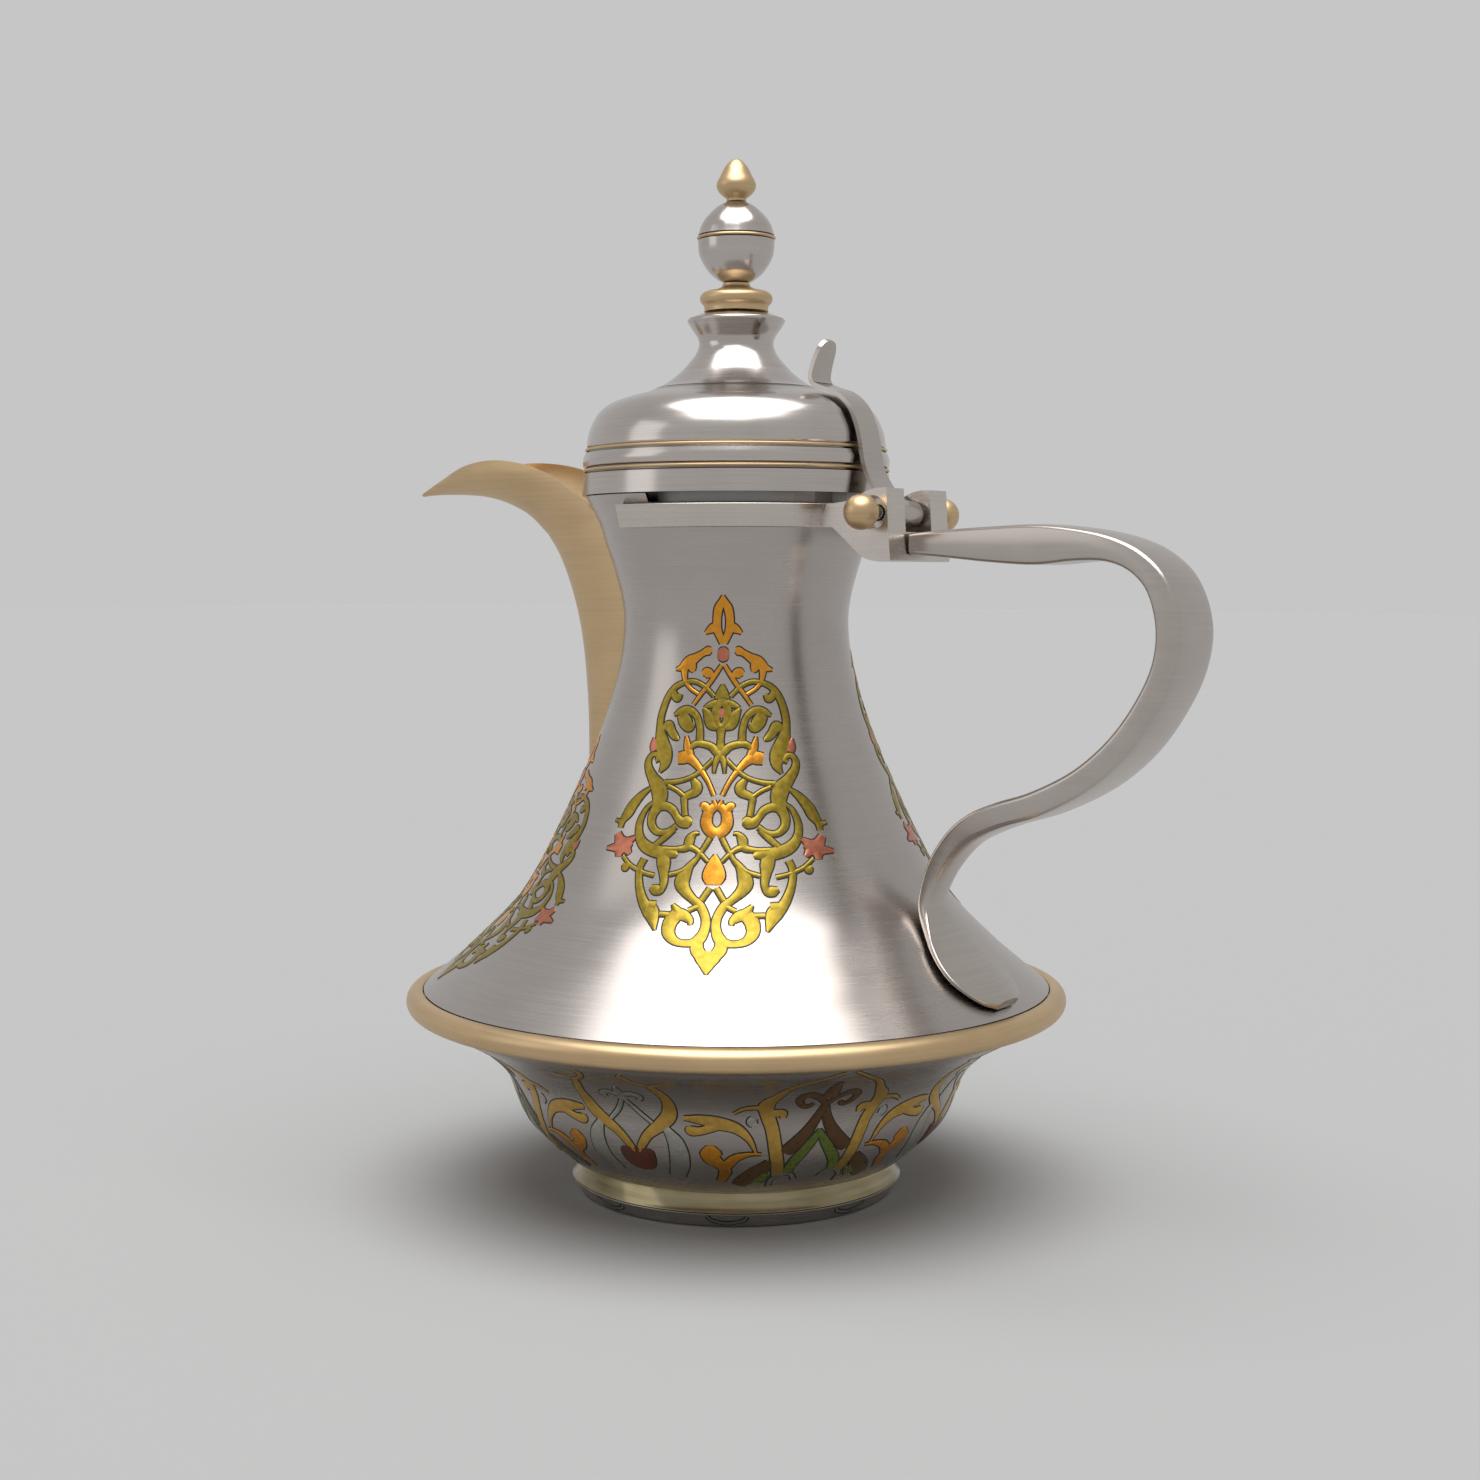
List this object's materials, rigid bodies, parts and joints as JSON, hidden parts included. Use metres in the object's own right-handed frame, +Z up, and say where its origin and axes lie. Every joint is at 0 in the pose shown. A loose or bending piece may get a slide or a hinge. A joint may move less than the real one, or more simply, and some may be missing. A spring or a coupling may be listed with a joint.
{
  "type": "dallah coffee pot",
  "caption": "Waisted steel coffee pot with a wide gilt rim, crescent spout, bowed handle and a hinged domed lid with a ball finial; inlaid arabesque decoration.",
  "frame": {"origin": "centre of the underside of the base, on the pot's axis", "axes": "+Z up along the pot's axis, +X towards the handle, -X towards the spout, Y along the lid hinge pin"},
  "size_m": [0.2675, 0.1934, 0.3],
  "materials": {
    "pot_steel": "satin polished spun stainless steel",
    "lid_steel": "bright satin polished spun stainless steel",
    "handle_steel": "satin polished cast stainless steel",
    "hinge_steel": "satin polished stainless steel",
    "inner_steel": "plain stainless steel, unpolished inner part",
    "gilt": "pale champagne gold plating, satin",
    "spout_gilt": "pale champagne gold plating, satin"
  },
  "bodies": {
    "root": {"body_shell": "pot_steel", "bowl_shell": "pot_steel", "foot_collar": "pot_steel", "foot_ring": "pot_steel", "base_disc": "inner_steel", "rim_ring": "gilt", "spout": "spout_gilt", "strainer_plate": "inner_steel", "yoke_bracket": "hinge_steel", "hinge_pin": "hinge_steel", "hinge_ball_left": "gilt", "hinge_ball_right": "gilt", "handle": "handle_steel"},
    "lid": {"lid_dome": "lid_steel", "lid_wire_upper": "gilt", "lid_wire_lower": "gilt", "lid_inner_flange": "inner_steel", "lid_spire": "lid_steel", "lid_strap": "hinge_steel", "finial_base": "gilt", "finial_ball_lower": "lid_steel", "finial_band": "gilt", "finial_ball_upper": "lid_steel", "finial_tip": "gilt", "finial_stud": "inner_steel", "finial_washer": "inner_steel", "finial_nut": "inner_steel"}
  },
  "joints": [
    {"name": "lid_hinge", "type": "hinge", "parent": "root", "child": "lid", "pos_m": [0.0563, 0, 0.1971], "axis": [0, 1, 0], "range_deg": [0, 110]}
  ]
}
